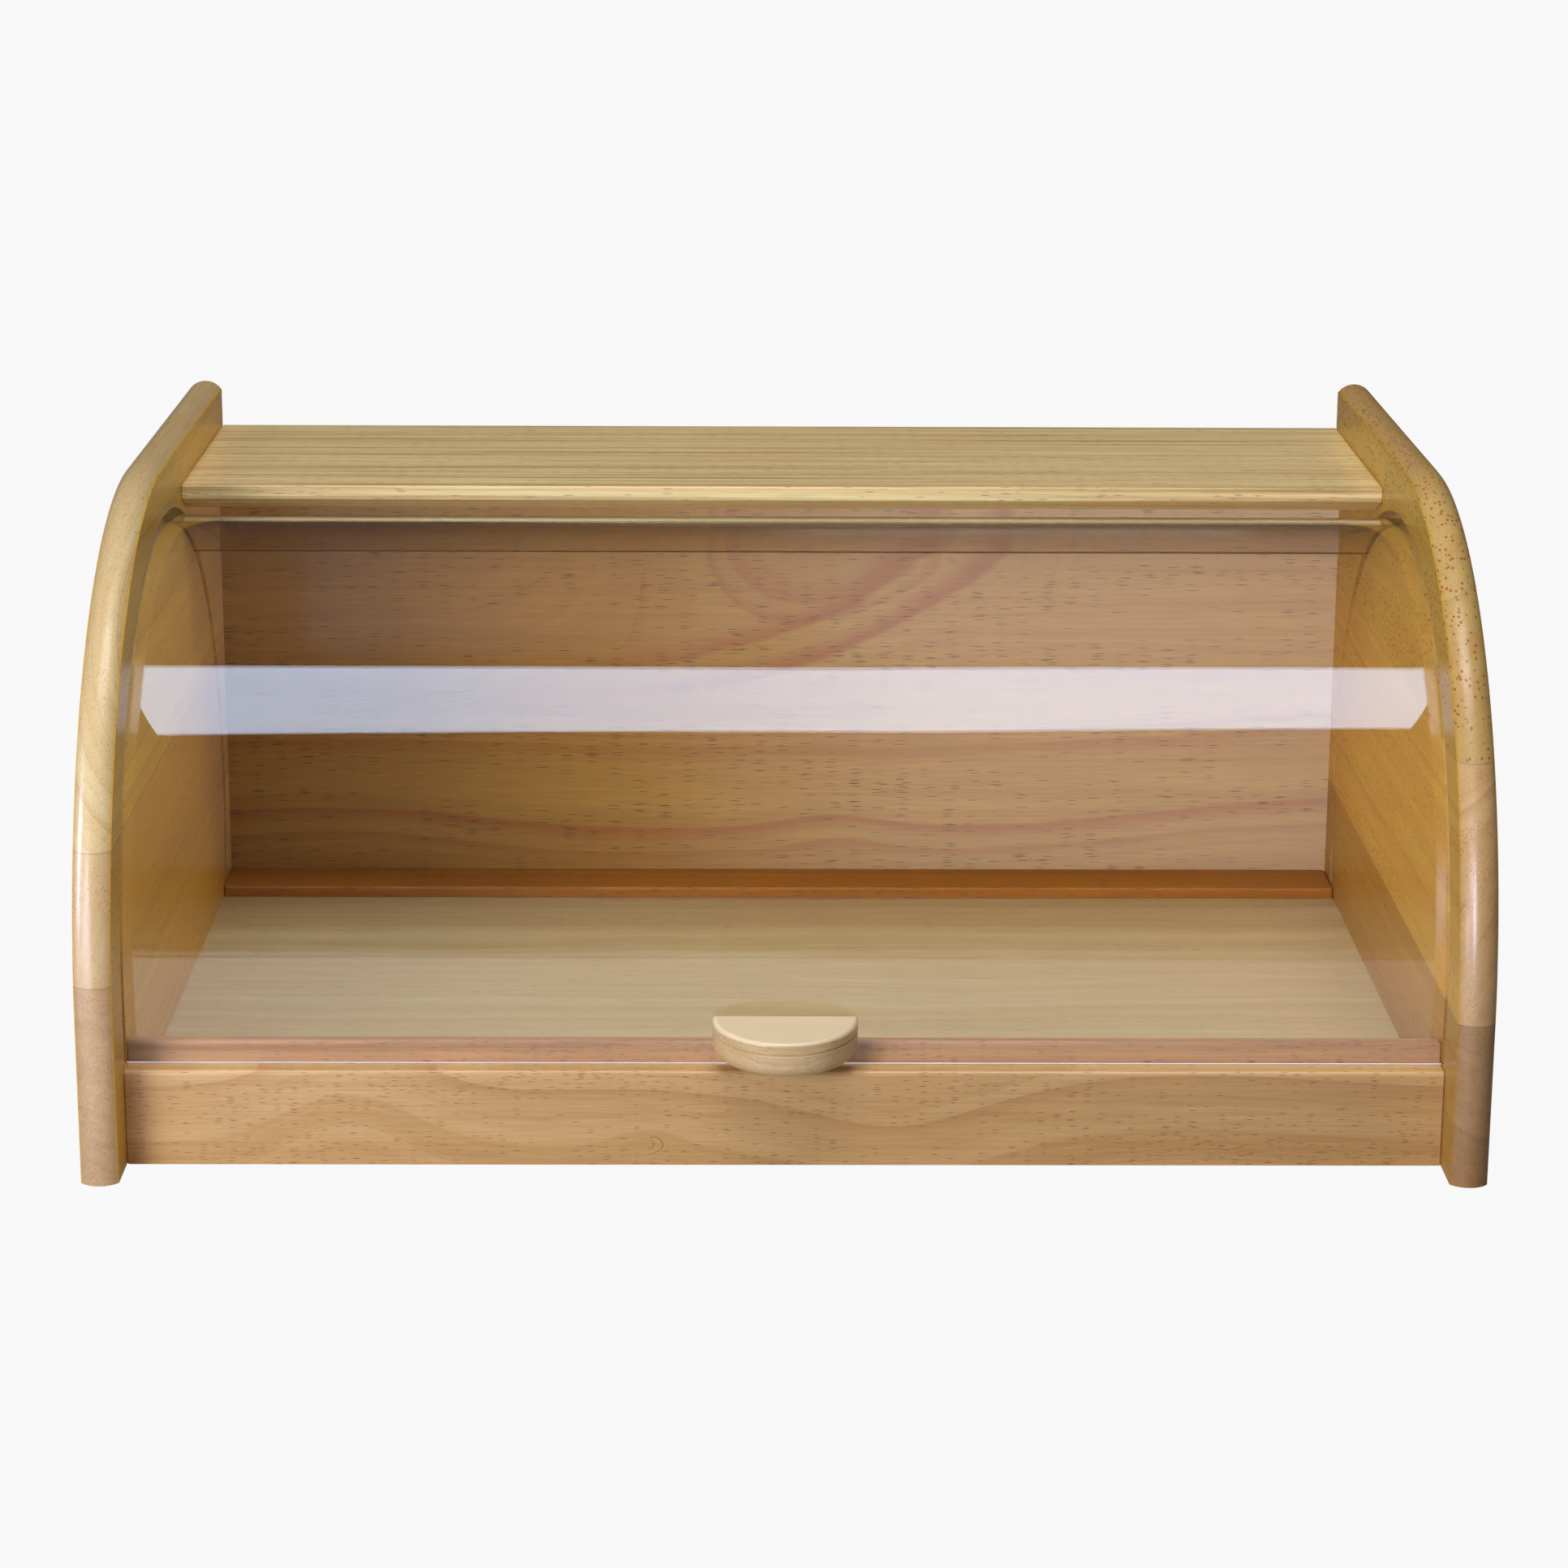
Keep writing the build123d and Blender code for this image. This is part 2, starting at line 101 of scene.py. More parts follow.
class Graph:
    """The node tree of one material, with short ways to add and join nodes."""

    def __init__(self, name: str) -> None:
        """Start an empty material.

        Args:
            name: what the material is called.
        """
        self.material = bpy.data.materials.new(name)
        self.material.use_nodes = True
        self.tree = self.material.node_tree
        self.tree.nodes.clear()

    def plug(self, target: Socket, value: object) -> None:
        """Join a socket to another one, or set its plain value.

        Args:
            target: the input to feed.
            value: an output socket, a number or a tuple.
        """
        if isinstance(value, bpy.types.NodeSocket):
            self.tree.links.new(value, target)
        else:
            target.default_value = value

    def node(self, kind: str, inputs: dict | None = None, **settings: object) -> bpy.types.Node:
        """Add a node.

        Args:
            kind: the node's type name.
            inputs: values or sockets by input name or number.
            settings: the node's own properties.

        Returns:
            The new node.
        """
        made = self.tree.nodes.new(kind)
        for key, value in settings.items():
            setattr(made, key, value)
        for key, value in (inputs or {}).items():
            self.plug(made.inputs[key], value)
        return made

    def math(self, operation: str, first: Number, second: Number = 0.0, third: Number = 0.0) -> Socket:
        """Work out one sum on up to three numbers.

        Args:
            operation: the Math node's operation.
            first: its first number.
            second: its second number.
            third: its third number.

        Returns:
            The result's socket.
        """
        made = self.node("ShaderNodeMath", {0: first, 1: second, 2: third}, operation=operation)
        return made.outputs[0]

    def fade(self, value: Number, low: float, high: float, start: float = 0.0, end: float = 1.0) -> Socket:
        """Pass smoothly from start to end as value goes from low to high."""
        made = self.node(
            "ShaderNodeMapRange",
            {"Value": value, "From Min": low, "From Max": high, "To Min": start, "To Max": end},
            interpolation_type="SMOOTHSTEP",
        )
        return made.outputs["Result"]

    def hump(self, value: Number, middle: float, width: float) -> Socket:
        """A smooth rise to one round a middle value, and nothing well away from it."""
        offset = self.math("DIVIDE", self.math("SUBTRACT", value, middle), width)
        square = self.math("MULTIPLY", offset, offset)
        return self.math("POWER", math.e, self.math("MULTIPLY", square, -1.0))

    def ridge(self, value: Number, middle: float, below: float, above: float) -> Socket:
        """A smooth rise below a middle value and a fall above it, each over its own width."""
        rise = self.fade(value, middle - below, middle)
        fall = self.fade(value, middle, middle + above, 1.0, 0.0)
        return self.math("MULTIPLY", rise, fall)

    def vector(self, x: Number, y: Number, z: Number) -> Socket:
        """Put three numbers together as a vector."""
        return self.node("ShaderNodeCombineXYZ", {0: x, 1: y, 2: z}).outputs[0]

    def stretched(self, stretch: tuple[float, float, float]) -> Socket:
        """The object's own coordinates, stretched by a factor on each axis."""
        coordinates = self.node("ShaderNodeTexCoord").outputs["Object"]
        made = self.node("ShaderNodeVectorMath", {0: coordinates, 1: stretch}, operation="MULTIPLY")
        return made.outputs[0]

    def grey(self, shade: Socket) -> Socket:
        """A grey of the given brightness."""
        return self.node("ShaderNodeCombineColor", {0: shade, 1: shade, 2: shade}).outputs[0]

    def noise(self, place: Socket, detail: float = 2.0, roughness: float = 0.5) -> Socket:
        """Smooth noise at a place that is already stretched to the noise's own scale."""
        made = self.node(
            "ShaderNodeTexNoise",
            {"Vector": place, "Scale": 1.0, "Detail": detail, "Roughness": roughness},
        )
        return made.outputs[0]

    def noise_along(self, value: Socket, detail: float = 2.0, roughness: float = 0.5) -> Socket:
        """Smooth noise along a single number."""
        made = self.node(
            "ShaderNodeTexNoise",
            {"W": value, "Scale": 1.0, "Detail": detail, "Roughness": roughness},
            noise_dimensions="1D",
        )
        return made.outputs[0]

    def blend(self, share: Number, first: object, second: object, how: str = "MIX") -> Socket:
        """Mix two colours.

        Args:
            share: how much of the second colour, from 0 to 1.
            first: a colour or its socket.
            second: a colour or its socket.
            how: the Mix node's blend type.

        Returns:
            The mixed colour's socket.
        """
        made = self.node("ShaderNodeMix", data_type="RGBA", blend_type=how, clamp_factor=True)
        self.plug(made.inputs["Factor"], share)
        self.plug(made.inputs[6], first)
        self.plug(made.inputs[7], second)
        return made.outputs[2]

    def close(self, shader: Socket) -> bpy.types.Material:
        """Join the shader to the material's output.

        Args:
            shader: the finished surface.

        Returns:
            The material.
        """
        output = self.node("ShaderNodeOutputMaterial")
        self.plug(output.inputs["Surface"], shader)
        return self.material


def wear(piece: bpy.types.Object, material: bpy.types.Material) -> None:
    """Give every material slot of a piece the same finish.

    Args:
        piece: the object to dress.
        material: its finish.
    """
    if not piece.material_slots:
        piece.data.materials.append(material)
    for place in piece.material_slots:
        place.material = material


def stand(name: str, shape: bmesh.types.BMesh) -> bpy.types.Object:
    """Turn a finished shape into an object and put it in the scene.

    Args:
        name: what the object and its mesh are called.
        shape: the shape, which is used up.

    Returns:
        The new object.
    """
    data = bpy.data.meshes.new(name)
    shape.to_mesh(data)
    shape.free()
    made = bpy.data.objects.new(name, data)
    bpy.context.scene.collection.objects.link(made)
    return made


@dataclass(frozen=True)
class Swirl:
    """An oval run of growth rings in a peeled veneer, such as where a branch began."""

    across: float
    up: float
    half_width: float
    half_height: float
    rings: tuple[float, ...]


@dataclass(frozen=True)
class Wave:
    """A local rise of the figure's lines in a peeled veneer."""

    across: float
    up: float
    half_width: float
    half_height: float
    rise: float


@dataclass(frozen=True)
class Band:
    """A dark line of late wood in a peeled veneer, soft on one side and crisp on the other."""

    middle: float
    below: float
    above: float
    share: float


@dataclass(frozen=True)
class Stretch:
    """How often a noise changes in a metre along the fibres and in a metre across them."""

    along: float
    across: float


@dataclass(frozen=True)
class Spot:
    """A place in a board: along the fibres, level across them, the height, and side to side."""

    along: Socket
    wide: Socket
    high: Socket
    side: Socket


RING_DRIFT = Stretch(7.0, 22.0)
RING_RIPPLE = Stretch(25.0, 60.0)
PORE_ZONES = Stretch(9.0, 70.0)
FIBRES = Stretch(60.0, 2200.0)
MOTTLE = Stretch(9.0, 30.0)
STREAKS_ALONG = 5.0
RING_SHIFT = 7.3
STRENGTH_SLOWNESS = 0.43
LATE_SHARPNESS = 5.0
SWIRL_RIGHT_SIDE = (-0.2, 0.7)
SWIRL_RIM = (1.02, 1.22)
SWIRL_DRIFT = 12.0
SWIRL_RIPPLE = 0.10
SWIRL_LINE_BELOW = 0.085
SWIRL_LINE_ABOVE = 0.03
SWIRL_LINE_SHARE = 0.95
PORE_RIM = (0.14, 0.36)
FACE_FADE = 0.6 * MM
PALE_TOP_FADE = 0.5 * MM
PALE_TOP_SHARE = 0.7
GLUE_HALF_WIDTH = 0.18 * MM
GLUE_SHARE = 0.35
FIBRE_HEIGHT = 0.35
WOOD_BUMP = 0.25
WOOD_BUMP_DEPTH = 0.12 * MM
FIBRE_ROUGHNESS = 0.16
PORE_ROUGHNESS = 0.15


@dataclass(frozen=True)
class WoodFinish:
    """Satin lacquered wood: growth rings, streaks, fibres, pores and a slight mottle, all through it."""

    name: str
    pale: str
    warm: str
    dark: str
    grain: Grain = Grain.SIDE_TO_SIDE
    figure: Figure = Figure.SAWN
    pore_tint: str = "5e3413"
    line_tint: str = "b9772f"
    specular: float = 0.5
    pith: tuple[float, float] = (0.05, -0.12)
    ring_spacing: float = 0.006
    ring_strength: float = 0.5
    late_wood: float = 0.35
    wander: float = 0.004
    streaks: float = 0.35
    streak_width: float = 0.0011
    fibres: float = 0.10
    pores: float = 0.6
    pore_share: float = 0.4
    pore_length: float = 0.006
    pore_width: float = 0.00065
    mottle: float = 0.35
    roughness: float = 0.42
    coat: float = 0.35
    seed: float = 0.0
    swirls: tuple[Swirl, ...] = ()
    waves: tuple[Wave, ...] = ()
    dark_bands: tuple[Band, ...] = ()
    coat_roughness: float = 0.22
    top_from: float | None = None
    top: str = "f9eac0"
    glue_lines: tuple[float, ...] = ()
    # painted light and shade on the side panels' broad faces
    face_light_and_shade: tuple[float, float, float] | None = None
    edge_middle: float = 0.18975
    edge_half: float = 0.0045

    def spot(self, graph: Graph) -> Spot:
        """Split the board's own coordinates by the run of the fibres."""
        coordinates = graph.node("ShaderNodeTexCoord").outputs["Object"]
        x, y, z = graph.node("ShaderNodeSeparateXYZ", {0: coordinates}).outputs
        if self.grain is Grain.SIDE_TO_SIDE:
            return Spot(x, y, z, x)
        return Spot(y, x, z, x)

    def level(self, spot: Spot) -> Socket:
        """The place across the fibres of a peeled veneer that lies flat or stands."""
        return spot.wide if self.figure is Figure.PEELED_FLOOR else spot.high

    def noise_place(self, graph: Graph, spot: Spot, stretch: Stretch, shift: float = 0.0) -> Socket:
        """Where a stretched noise is read.

        Args:
            graph: the material's nodes.
            spot: the place in the board.
            stretch: the noise's stretch.
            shift: how far this noise is moved from the board's others.

        Returns:
            The stretched place's socket.
        """
        return graph.vector(
            graph.math("MULTIPLY_ADD", spot.along, stretch.along, self.seed + shift),
            graph.math("MULTIPLY", spot.wide, stretch.across),
            graph.math("MULTIPLY", spot.high, stretch.across),
        )

    def swirl_place(self, graph: Graph, spot: Spot, swirl: Swirl) -> tuple[Socket, Socket]:
        """Where a place lies in a swirl.

        Args:
            graph: the material's nodes.
            spot: the place in the board.
            swirl: the swirl.

        Returns:
            How far it lies to the side, and its oval distance from the swirl's middle.
        """
        side = graph.math("DIVIDE", graph.math("SUBTRACT", spot.along, swirl.across), swirl.half_width)
        lifted = graph.math("SUBTRACT", self.level(spot), swirl.up)
        up = graph.math("DIVIDE", lifted, swirl.half_height)
        squares = graph.math("MULTIPLY_ADD", up, up, graph.math("MULTIPLY", side, side))
        return side, graph.math("SQRT", squares)

    def growth(self, graph: Graph, spot: Spot) -> Socket:
        """The growth field, in metres: its level lines are the rings.

        Args:
            graph: the material's nodes.
            spot: the place in the board.

        Returns:
            The field's socket.
        """
        slow = self.noise_place(graph, spot, RING_DRIFT)
        drift = graph.math("SUBTRACT", graph.noise(slow), 0.5)
        drift = graph.math("MULTIPLY", drift, 2 * self.wander)
        if self.figure is Figure.SAWN:
            side = graph.math("SUBTRACT", spot.wide, self.pith[0])
            up = graph.math("SUBTRACT", spot.high, self.pith[1])
            squares = graph.math("MULTIPLY_ADD", up, up, graph.math("MULTIPLY", side, side))
            return graph.math("ADD", graph.math("SQRT", squares), drift)
        level = self.level(spot)
        value = level
        for wave in self.waves:
            rise = graph.math(
                "MULTIPLY",
                graph.hump(spot.along, wave.across, wave.half_width),
                graph.hump(level, wave.up, wave.half_height),
            )
            value = graph.math("MULTIPLY_ADD", rise, -wave.rise, value)
        for swirl in self.swirls:
            side, distance = self.swirl_place(graph, spot, swirl)
            oval = graph.math("MULTIPLY_ADD", drift, SWIRL_DRIFT, distance)
            inside = graph.fade(oval, *SWIRL_RIM, 1.0, 0.0)
            inside = graph.math("MULTIPLY", inside, graph.fade(side, *SWIRL_RIGHT_SIDE))
            ringed = graph.math("MULTIPLY", oval, swirl.half_height)
            mixed = graph.math("MULTIPLY", graph.math("SUBTRACT", ringed, value), inside)
            value = graph.math("ADD", value, mixed)
        return graph.math("ADD", value, drift)

    def swirl_lines(self, graph: Graph, spot: Spot) -> Socket:
        """The strong dark rings of the swirls, from 0 to 1.

        Args:
            graph: the material's nodes.
            spot: the place in the board.

        Returns:
            The lines' socket.
        """
        ripple = graph.noise(self.noise_place(graph, spot, RING_RIPPLE))
        lines = None
        for swirl in self.swirls:
            side, distance = self.swirl_place(graph, spot, swirl)
            oval = graph.math("MULTIPLY_ADD", ripple, SWIRL_RIPPLE, distance)
            right_side = graph.fade(side, *SWIRL_RIGHT_SIDE)
            for ring in swirl.rings:
                ridge = graph.ridge(oval, ring, SWIRL_LINE_BELOW, SWIRL_LINE_ABOVE)
                line = graph.math("MULTIPLY", ridge, right_side)
                lines = line if lines is None else graph.math("MAXIMUM", lines, line)
        return lines

    def pore_dashes(self, graph: Graph, spot: Spot) -> Socket:
        """Short dark dashes along the fibres, from 0 to 1, denser in some zones than in others.

        Args:
            graph: the material's nodes.
            spot: the place in the board.

        Returns:
            The dashes' socket.
        """
        cells = graph.vector(
            graph.math("DIVIDE", spot.along, self.pore_length),
            graph.math("DIVIDE", spot.wide, self.pore_width),
            graph.math("DIVIDE", spot.high, self.pore_width),
        )
        cell = graph.node("ShaderNodeTexVoronoi", {"Vector": cells, "Scale": 1.0})
        dash = graph.fade(cell.outputs["Distance"], *PORE_RIM, 1.0, 0.0)
        chance = graph.node("ShaderNodeSeparateColor", {0: cell.outputs["Color"]}).outputs[0]
        zones = graph.noise(self.noise_place(graph, spot, PORE_ZONES, 3.0))
        share = graph.math("MULTIPLY", graph.fade(zones, 0.3, 0.7), 2 * self.pore_share)
        present = graph.math("LESS_THAN", chance, share)
        return graph.math("MULTIPLY", dash, present)

    def figured(self, graph: Graph, spot: Spot) -> Socket:
        """The colour of the growth rings, streaks, swirls and dark bands.

        Args:
            graph: the material's nodes.
            spot: the place in the board.

        Returns:
            The colour's socket.
        """
        rings = graph.math("DIVIDE", self.growth(graph, spot), self.ring_spacing)
        shifted = graph.math("ADD", rings, self.seed * RING_SHIFT)
        bands = graph.fade(graph.noise_along(shifted, 3.0, 0.6), 0.32, 0.68)
        edge = graph.math("POWER", graph.math("FRACT", shifted), LATE_SHARPNESS)
        slowed = graph.math("MULTIPLY", shifted, STRENGTH_SLOWNESS)
        strength = graph.fade(graph.noise_along(slowed), 0.35, 0.75)
        late = graph.math("MULTIPLY", edge, strength)
        streak_stretch = Stretch(STREAKS_ALONG, 1 / (3 * self.streak_width))
        streak_place = self.noise_place(graph, spot, streak_stretch, 11.0)
        streak = graph.fade(graph.noise(streak_place, 3.0, 0.65), 0.42, 0.72)
        mottle_place = self.noise_place(graph, spot, MOTTLE, 5.0)
        mottle = graph.fade(graph.noise(mottle_place, 3.0, 0.55), 0.3, 0.7)

        warm = tint(self.warm)
        dark = tint(self.dark)
        line_tint = tint(self.line_tint)
        colour = graph.blend(graph.math("MULTIPLY", bands, self.ring_strength), tint(self.pale), warm)
        colour = graph.blend(graph.math("MULTIPLY", mottle, self.mottle), colour, warm)
        colour = graph.blend(graph.math("MULTIPLY", late, self.late_wood), colour, dark)
        colour = graph.blend(graph.math("MULTIPLY", streak, self.streaks), colour, dark)
        if self.swirls:
            lines = graph.math("MULTIPLY", self.swirl_lines(graph, spot), SWIRL_LINE_SHARE)
            colour = graph.blend(lines, colour, line_tint)
        metres = graph.math("MULTIPLY", rings, self.ring_spacing)
        for line in self.dark_bands:
            ridge = graph.ridge(metres, line.middle, line.below, line.above)
            colour = graph.blend(graph.math("MULTIPLY", ridge, line.share), colour, line_tint)
        return colour

    def finished(self, graph: Graph, spot: Spot, colour: Socket) -> Socket:
        """The colour with the painted light and shade of the broad faces, the paler top and the glue lines.

        Args:
            graph: the material's nodes.
            spot: the place in the board.
            colour: the wood's own colour.

        Returns:
            The colour's socket.
        """
        # Painted light and shade: the broad faces, away from the rounded front edges, get a deeper, more
        # saturated tint as if in shade, brighter on the left for light that no lamp brings.
        if self.face_light_and_shade is not None:
            outward = graph.math("SUBTRACT", graph.math("ABSOLUTE", spot.side), self.edge_middle)
            from_middle = graph.math("ABSOLUTE", outward)
            face = graph.fade(from_middle, self.edge_half, self.edge_half + FACE_FADE)
            painted_face = graph.node("ShaderNodeVectorMath", {0: colour, 1: self.face_light_and_shade}, operation="MULTIPLY")
            colour = graph.blend(face, colour, painted_face.outputs[0])
        # The board turns paler towards its top.
        if self.top_from is not None:
            pale_top_mask = graph.fade(spot.high, self.top_from, self.top_from + PALE_TOP_FADE)
            colour = graph.blend(graph.math("MULTIPLY", pale_top_mask, PALE_TOP_SHARE), colour, tint(self.top))
        for line in self.glue_lines:
            joint = graph.math("MULTIPLY", graph.hump(spot.high, line, GLUE_HALF_WIDTH), GLUE_SHARE)
            colour = graph.blend(joint, colour, tint(self.pore_tint))
        return colour

    def material(self) -> bpy.types.Material:
        """Build the finish's nodes.

        Returns:
            The material.
        """
        graph = Graph(self.name)
        spot = self.spot(graph)
        fibre = graph.noise(self.noise_place(graph, spot, FIBRES), 3.0, 0.6)
        pore = self.pore_dashes(graph, spot)
        shade = graph.fade(fibre, 0.25, 0.75, 1.0 - self.fibres, 1.0 + self.fibres)
        colour = graph.blend(1.0, self.figured(graph, spot), graph.grey(shade), "MULTIPLY")
        colour = graph.blend(graph.math("MULTIPLY", pore, self.pores), colour, tint(self.pore_tint))
        colour = self.finished(graph, spot, colour)

        height = graph.math("MULTIPLY_ADD", pore, -1.0, graph.math("MULTIPLY", fibre, FIBRE_HEIGHT))
        relief = {"Height": height, "Strength": WOOD_BUMP, "Distance": WOOD_BUMP_DEPTH}
        bump = graph.node("ShaderNodeBump", relief)
        smoothest = self.roughness - FIBRE_ROUGHNESS / 2
        rough = graph.math("MULTIPLY_ADD", fibre, FIBRE_ROUGHNESS, smoothest)
        rough = graph.math("MULTIPLY_ADD", pore, PORE_ROUGHNESS, rough)
        surface = graph.node(
            "ShaderNodeBsdfPrincipled",
            {
                "Base Color": colour,
                "Roughness": rough,
                "Specular IOR Level": self.specular,
                "Normal": bump.outputs[0],
                "Coat Weight": self.coat,
                "Coat Roughness": self.coat_roughness,
            },
        )
        return graph.close(surface.outputs[0])


@dataclass(frozen=True)
class AcrylicFinish:
    """Clear polished acrylic sheet with very slight waves from bending."""

    name: str = "clear_acrylic"
    ior: float = 1.49
    clear: str = "fbf9fc"
    wave_depth: float = 0.6 * MM
    scuff_roughness: float = 0.03
    scuff_shade: float = 0.975

    def material(self) -> bpy.types.Material:
        """Build the finish's nodes.

        Returns:
            The material.
        """
        graph = Graph(self.name)
        wave = graph.noise(graph.stretched((6.0, 14.0, 14.0)), 1.0)
        scuff = graph.noise(graph.stretched((60.0, 900.0, 900.0)), 3.0, 0.6)
        rough = graph.fade(scuff, 0.55, 0.8, 0.0, self.scuff_roughness)
        bump = graph.node("ShaderNodeBump", {"Height": wave, "Strength": 0.5, "Distance": self.wave_depth})
        shade = graph.fade(scuff, 0.3, 0.8, 1.0, self.scuff_shade)
        colour = graph.blend(1.0, tint(self.clear), graph.grey(shade), "MULTIPLY")
        glass = graph.node(
            "ShaderNodeBsdfPrincipled",
            {
                "Base Color": colour,
                "Roughness": rough,
                "IOR": self.ior,
                "Transmission Weight": 1.0,
                "Normal": bump.outputs[0],
            },
        )
        passing = graph.node("ShaderNodeBsdfTransparent", {"Color": colour})
        light_path = graph.node("ShaderNodeLightPath")
        both = graph.node(
            "ShaderNodeMixShader",
            {0: light_path.outputs["Is Shadow Ray"], 1: glass.outputs[0], 2: passing.outputs[0]},
        )
        return graph.close(both.outputs[0])


@dataclass(frozen=True)
class CutEdgeFinish:
    """The sawn and lightly rubbed edge of the acrylic sheet, with a painted glow for the light that the
    sheet would pipe to it.
    """

    name: str = "cut_acrylic_edge"
    pale: str = "f4f4f7"
    dull: str = "d6d7dd"
    painted_glow: str = "f2f4ff"
    painted_glow_strength: float = 0.45
    rub_depth: float = 0.05 * MM

    def material(self) -> bpy.types.Material:
        """Build the finish's nodes.

        Returns:
            The material.
        """
        graph = Graph(self.name)
        rub = graph.noise(graph.stretched((220.0, 900.0, 900.0)), 3.0)
        colour = graph.blend(graph.fade(rub, 0.3, 0.7), tint(self.pale), tint(self.dull))
        rough = graph.fade(rub, 0.2, 0.8, 0.35, 0.6)
        bump = graph.node("ShaderNodeBump", {"Height": rub, "Strength": 0.2, "Distance": self.rub_depth})
        surface = graph.node(
            "ShaderNodeBsdfPrincipled",
            {
                "Base Color": colour,
                "Roughness": rough,
                "Normal": bump.outputs[0],
                # Painted glow: the edge gives off light though it is no lamp.
                "Emission Color": tint(self.painted_glow),
                "Emission Strength": self.painted_glow_strength,
            },
        )
        return graph.close(surface.outputs[0])


@dataclass(frozen=True)
class SteelFinish:
    """Zinc plated screw steel with turned marks and dull patches."""

    name: str = "screw_steel"
    bright: str = "c9c6bf"
    dull: str = "8d8a83"
    mark_depth: float = 0.05 * MM

    def material(self) -> bpy.types.Material:
        """Build the finish's nodes.

        Returns:
            The material.
        """
        graph = Graph(self.name)
        patch = graph.noise(graph.stretched((900.0, 900.0, 900.0)), 3.0)
        colour = graph.blend(graph.fade(patch, 0.3, 0.7), tint(self.bright), tint(self.dull))
        rough = graph.fade(patch, 0.2, 0.8, 0.22, 0.42)
        bump = graph.node("ShaderNodeBump", {"Height": patch, "Strength": 0.2, "Distance": self.mark_depth})
        surface = graph.node(
            "ShaderNodeBsdfPrincipled",
            {"Base Color": colour, "Metallic": 1.0, "Roughness": rough, "Normal": bump.outputs[0]},
        )
        return graph.close(surface.outputs[0])


